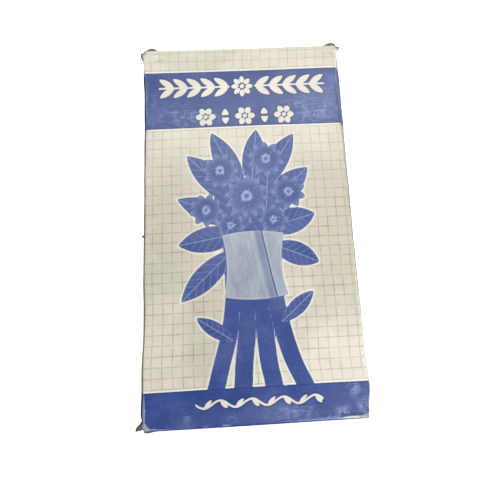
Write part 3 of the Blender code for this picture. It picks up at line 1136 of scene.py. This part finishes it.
def band_print(graph, down, level):
    """The bands, their unprinted margins, and the darker rims of their ink."""
    start, end, low = UPPER_BAND["from"], UPPER_BAND["to"], LOWER_BAND_FROM
    band = graph.between(level, start, end).most(graph.step(level, low - 0.12, low + 0.12))
    low_margin = low - BAND_MARGIN
    margin = graph.between(down, start - BAND_MARGIN, end + BAND_MARGIN)
    margin = margin.most(graph.step(down, low_margin - 0.1, low_margin + 0.1))
    rims = graph.between(level, start, start + BAND_RIM, 0.2)
    rims = rims.most(graph.between(level, end - BAND_RIM, end, 0.2))
    rims = rims.most(graph.between(level, low, low + BAND_RIM, 0.2))
    return band, margin, rims


def rubbed_ink(graph, spot, rubs):
    """How far the ink is rubbed: soft clouds and fine scratches, strongest at the rubbed places."""
    cloud = graph.step(graph.noise(spot, 7.5, 4.0, 0.62, 1.6), 0.42, 0.66)
    haze = graph.step(graph.noise(spot, 30.0, 4.0, 0.6), 0.42, 0.75, 0.0, 0.16)
    rising = graph.noise(graph.stretched(spot, 0.10, 1.5, 28.0), 1.0, 2.0, 0.55, 0.5)
    falling = graph.noise(graph.stretched(spot, 0.12, 1.7, -41.0), 1.0, 2.0, 0.55, 0.5)
    scratch = graph.step(rising.most(falling), 0.57, 0.69)
    return (cloud * rubs + haze + scratch * (rubs * 1.1 + 0.06)).clamped()


def make_print(name, artwork):
    """The printed face of the board: aged cream coating with painted shade, grid, bands, artwork, painted
    sheen, and wear over all of it.
    """
    graph = Graph(name)
    across, down, spot = graph.sheet()
    nothing = (0.0, 0.0, 0.0)
    painted_sheen, shade_and_age, wear = graph.field("tone") if artwork else nothing
    tone, rubs, petal = graph.field("shade") if artwork else nothing
    fold, crumple, crinkle = graph.field("folds")

    coating = coating_colour(graph, spot, shade_and_age)
    grid = grid_lines(graph, across, down, spot)
    ragged = (graph.noise(spot, 2.4, 2.0) - 0.5) * 0.22
    level = down + ragged
    ink, bare, rims = band_print(graph, down, level)
    mottle = graph.noise(spot, 26.0, 3.0) + graph.noise(spot, 4.2, 4.0, 0.65, 1.2)
    ink_colour = graph.mix(graph.step(mottle, 0.72, 1.28), BLUE_DEEP, BLUE)
    creamy = 1.0
    if artwork:
        band = ink
        whole, ribbon, ornament = graph.field("shapes")
        # The grid lines darken with the painted shade and age
        grid = grid * (shade_and_age * 0.25 + 0.90)
        drawn = graph.step(whole + ragged, -0.12, 0.12, 1.0, 0.0)
        ink_colour = drawing_colour(graph, spot, ink_colour, drawn, tone, petal, band)
        on_ribbon = graph.step(ribbon, -0.12, 0.12, 1.0, 0.0)
        ink_colour = graph.mix(on_ribbon, ink_colour, ribbon_colour(graph, spot, ribbon, fold))
        on_ornament = graph.step(ornament + ragged, -0.14, 0.14, 1.0, 0.0)
        ink = band.most(drawn) * (1.0 - on_ornament * band)
        rims = rims.most(graph.step(ornament, 0.3, 1.5, 0.7, 0.0) * band)
        bare = bare.most(graph.step(whole, HALO - 0.15, HALO + 0.15, 1.0, 0.0) * 0.6)
        creamy = graph.step(on_ornament, 0.0, 1.0, 1.0, 0.35)
    else:
        # A tuck flap carries print only close to its crease
        reach = DEPTH / MM + PRINT_PAST_LID
        printed = graph.between(level, -reach, FOOT_DOWN + reach)
        grid, ink, bare = grid * printed, ink * printed, bare * printed
    colour = graph.mix(bare * 0.75 * creamy, coating, PAPER_WHITE)
    colour = graph.mix(grid * (1.0 - bare), colour, GRID_INK)
    colour = graph.mix(ink, colour, ink_colour)

    # Rubbed ink and painted sheen on the ink, darker at its rims, with small lost flecks
    rubbed = rubbed_ink(graph, spot, rubs)
    colour = graph.mix(rubbed * ink, colour, RUBBED_INK)
    # Painted sheen: the ink painted paler where gloss would shine, and on the right side panel's strip
    patchy = graph.noise(spot, 12.0, 4.0, 0.6) * 0.9 + 0.55
    colour = graph.mix(painted_sheen * patchy * ink, colour, SHEEN_COLOUR)
    colour = graph.mix(rims * ink * 0.6, colour, RIM_TINT, "MULTIPLY")
    flecks = graph.specks(graph.stretched(spot, 1.0, 0.7), 8.0, 0.030)
    flecks = flecks * graph.step(graph.noise(spot, 17.0), 0.5, 0.6)
    colour = graph.mix(flecks * ink, colour, PAPER_WHITE)

    # Worn creases, frayed corners mottled with painted shade of their crumples, painted shade with some dirt
    # in the dents and beside the creases, scuffs, and crumpled bare board painted as in shade
    cracked, gone = crease_wear(graph, across, down, spot, wear)
    stain = ink * graph.step(wear, 1.5, 2.2, 1.0, 0.2)
    colour = graph.mix(cracked * 0.85, colour, graph.mix(stain, PAPER_WHITE, BLUE_PALE))
    # Frayed corners mottled with the painted light and shade of their crumples
    painted_crumple_shade = graph.step(graph.noise(spot, 2.2, 3.0, 0.7), 0.36, 0.60)
    colour = graph.mix(gone, colour, graph.mix(painted_crumple_shade, FRAYED_IN_SHADE, FRAYED))
    # Painted shade in the dents and beside the creases, with some dirt
    colour = graph.mix(graph.step(crinkle, 0.10, 0.75, 0.0, 0.60), colour, SHADE_AND_DIRT_TINT, "MULTIPLY")
    ridge = graph.step(crinkle, -0.75, -0.10, 0.40, 0.0)
    colour = graph.mix(ridge, colour, graph.mix(ink, PAPER_WHITE, BLUE_PALE))
    # Crumpled places show bare board painted as in shade
    colour = graph.mix(graph.step(crumple, 0.5, 1.3, 0.0, 0.92), colour, BARE_BOARD_IN_SHADE)
    graph.put(graph.inputs["Base Color"], colour)

    rough = graph.noise(spot, 3.0, 4.0) * 0.20 + 0.30 + cracked.most(rubbed) * 0.25
    graph.put(graph.inputs["Roughness"], rough)
    graph.inputs["Specular IOR Level"].default_value = 0.30
    fibre = graph.noise(spot, 0.7, 4.0, 0.7) + graph.noise(spot, 9.0, 2.0) * 1.5
    graph.bump(fibre + cracked * 0.8, 0.22, 0.0003)
    return graph.material


def drawing_colour(graph, spot, ink_colour, drawn, tone, petal, band):
    """Leaves with pale ribs and rims, and petals that pale towards their tips."""
    along, beside, edge = graph.field("leaf")
    off = abs(beside)
    rib = graph.step(off, 0.18, 0.5, 1.0, 0.0)
    vein = graph.step((along * 30.0 - off * 0.8).pingpong(2.1), 0.12, 0.42, 0.55, 0.0)
    rib = rib.most(vein) * (1.0 - petal)
    rim = graph.step(edge, 0.12, 0.62, 0.62, 0.0)
    streak = graph.noise(spot, 1.3, 3.0, 0.7) * tone * 0.42
    pale = rim.most(rib * 0.55).most(tone + streak)
    pale = (pale * (1.0 - band)).clamped() * drawn
    return graph.mix(pale, ink_colour, BLUE_PALE)


def ribbon_colour(graph, spot, ribbon, fold):
    """A woven ribbon: fine ribs, a pale selvedge, and by its fold a shadow, a dark piped line and a glint."""
    weave = graph.noise(graph.stretched(spot, 1.6, 0.18, 4.0), 1.0, 2.0)
    sheen = graph.noise(graph.stretched(spot, 0.09, 0.03, 10.0), 1.0, 2.0)
    colour = graph.mix(graph.step(weave * 0.5 + sheen * 0.8, 0.42, 0.90), RIBBON_GREY, RIBBON_PALE)
    colour = graph.mix(graph.step(ribbon, -1.5, -0.9) * 0.6, colour, RIBBON_PALE)
    colour = graph.mix(graph.between(fold, -5.0, -0.9, 1.2) * 0.45, colour, BLUE)
    colour = graph.mix(graph.between(fold, -0.75, 0.15, 0.15) * 0.9, colour, BLUE_DEEP)
    return graph.mix(graph.between(fold, 0.4, 1.3, 0.25) * 0.7, colour, RIBBON_PALE)


def crease_wear(graph, across, down, spot, wear):
    """How far the coating is cracked white along the creases, and how far it is gone down to the board."""
    to_side = abs(abs(across) - (HALF_WIDTH / MM - 0.4))
    to_end = abs(down - 0.2).least(abs(down - (FOOT_DOWN - 0.2)))
    patchy = graph.noise(spot, 8.0, 4.0, 0.65)
    ragged = graph.noise(spot, 1.3, 3.0, 0.7)
    reach = graph.step(patchy, 0.42, 0.74, 0.05, 1.3) * ragged + wear * (ragged * 1.6 - 0.1)
    cracked = graph.step(to_side.least(to_end) - reach, -0.25, 0.25, 1.0, 0.0)
    corner = (to_side + to_end) * 0.5 + to_side * 0.3
    corner_reach = (patchy + ragged) * 1.6 + wear * 1.6
    return cracked, graph.step(corner - corner_reach, -0.5, 0.5, 0.8, 0.0)


def make_bare_board():
    """Grey unprinted board with darker fibres."""
    graph = Graph("bare_board")
    spot = graph.sheet()[2]
    fibres = graph.noise(graph.stretched(spot, 0.5, 2.4, 15.0), 1.0, 5.0, 0.75)
    mixed = graph.step(fibres * 0.7 + graph.noise(spot, 14.0, 3.0) * 0.3, 0.36, 0.66)
    colour = graph.mix(mixed, BOARD_GREY, BOARD_PALE)
    colour = graph.mix(graph.specks(spot, 2.6, 0.09) * 0.5, colour, BOARD_FIBRE)
    graph.put(graph.inputs["Base Color"], colour)
    graph.inputs["Roughness"].default_value = 0.92
    graph.inputs["Specular IOR Level"].default_value = 0.2
    graph.bump(fibres, 0.35, 0.0002)
    return graph.material


def make_flap_white():
    """The flaps' coated face, which carries no print but a few scuffs."""
    graph = Graph("unprinted_coating")
    spot = graph.sheet()[2]
    blotch = graph.noise(spot, 17.0, 4.0, 0.6)
    colour = graph.mix(graph.step(blotch, 0.35, 0.75), FLAP_WHITE, CREAM_AGED_AND_SHADED)
    scuff = graph.step(graph.noise(graph.stretched(spot, 0.2, 1.5, 35.0), 1.0, 3.0), 0.60, 0.72, 0.0, 0.35)
    graph.put(graph.inputs["Base Color"], graph.mix(scuff, colour, SCUFF))
    graph.put(graph.inputs["Roughness"], graph.step(blotch, 0.3, 0.8, 0.42, 0.62))
    graph.bump(graph.noise(spot, 0.8, 4.0, 0.7), 0.18, 0.0003)
    return graph.material


# Floor, light and camera


def make_backdrop():
    """A ring that curves up from the floor far behind the carton on all sides."""
    bend = np.linspace(0, math.pi / 2, BACKDROP_ROWS)
    radius = BACKDROP_RADIUS + BACKDROP_RISE * np.sin(bend)
    height = 2 * BACKDROP_RISE * (1 - np.cos(bend))
    turn = 2 * math.pi * np.arange(BACKDROP_SIDES) / BACKDROP_SIDES
    level = np.repeat(height[:, None], BACKDROP_SIDES, axis=1)
    ring = np.stack([radius[:, None] * np.cos(turn), radius[:, None] * np.sin(turn), level], axis=2)
    faces = []
    for row in range(BACKDROP_ROWS - 1):
        for side in range(BACKDROP_SIDES):
            here, after = row * BACKDROP_SIDES + side, row * BACKDROP_SIDES + (side + 1) % BACKDROP_SIDES
            faces.append((here, here + BACKDROP_SIDES, after + BACKDROP_SIDES, after))
    mesh = bpy.data.meshes.new("backdrop")
    mesh.from_pydata(ring.reshape(-1, 3).tolist(), [], faces)
    mesh.shade_smooth()
    backdrop = add_object("backdrop", mesh)
    backdrop.visible_shadow = False
    return backdrop


def make_stage():
    """A pale floor and its backdrop, which light and colour nothing."""
    graph = Graph("floor_white")
    cloud = graph.noise(graph.node("ShaderNodeTexCoord", "Object"), 0.4, 2.0)
    graph.put(graph.inputs["Base Color"], graph.mix(cloud, *FLOOR_WHITES))
    graph.inputs["Roughness"].default_value = 0.9
    graph.inputs["Emission Color"].default_value = (1.0, 1.0, 1.0, 1.0)
    graph.inputs["Emission Strength"].default_value = FLOOR_GLOW
    bpy.ops.mesh.primitive_plane_add(size=FLOOR_SIZE, location=(0.0, 0.0, FLOOR_TOP))
    floor = bpy.context.object
    floor.name = "floor"
    for piece in (floor, make_backdrop()):
        piece.data.materials.append(graph.material)
        piece.visible_diffuse = False
        piece.visible_glossy = False


def add_lamp(row):
    lamp = bpy.data.lights.new(row["name"], "AREA")
    lamp.shape = "DISK"
    lamp.size = row["size"]
    lamp.energy = row["power"]
    lamp.color = row["colour"]
    made = add_object(row["name"], lamp)
    made.location = row["place"]
    made.rotation_euler = (Vector(row["target"]) - Vector(row["place"])).to_track_quat("-Z", "Y").to_euler()
    made.visible_camera = False


def make_world():
    """A soft room that is lit above the floor's level and dark below it."""
    world = bpy.data.worlds.new("soft_room")
    world.use_nodes = True
    nodes, links = world.node_tree.nodes, world.node_tree.links
    place = nodes.new("ShaderNodeTexCoord")
    split = nodes.new("ShaderNodeSeparateXYZ")
    rise = nodes.new("ShaderNodeMapRange")
    links.new(place.outputs["Generated"], split.inputs[0])
    links.new(split.outputs[2], rise.inputs["Value"])
    for name, value in WORLD_RISE.items():
        rise.inputs[name].default_value = value
    nodes["Background"].inputs["Color"].default_value = WORLD_COLOUR
    links.new(rise.outputs[0], nodes["Background"].inputs["Strength"])
    bpy.context.scene.world = world


def make_camera():
    lens = bpy.data.cameras.new("camera")
    lens.lens = CAMERA_LENS
    lens.sensor_width = 36.0
    lens.shift_x, lens.shift_y = CAMERA_SHIFT
    lens.clip_start = 0.01
    camera = add_object("camera", lens)
    camera.location = CAMERA_PLACE
    camera.rotation_euler = tuple(math.radians(angle) for angle in CAMERA_TURN)
    bpy.context.scene.camera = camera


def main():
    make_camera()
    make_stage()
    make_world()
    for row in LAMPS:
        add_lamp(row)
    bpy.context.scene.view_settings.view_transform = "Standard"
    bare = make_bare_board()
    printed_lid = (make_print("printed_lid_board", artwork=False), bare)
    coated = (make_flap_white(), bare)
    make_sleeve((make_print("printed_board", artwork=True), bare))
    make_flake(printed_lid)
    for end in ("head", "foot"):
        make_lid(end, printed_lid)
        for side in ("left", "right"):
            make_dust_flap(end, side, coated)


main()
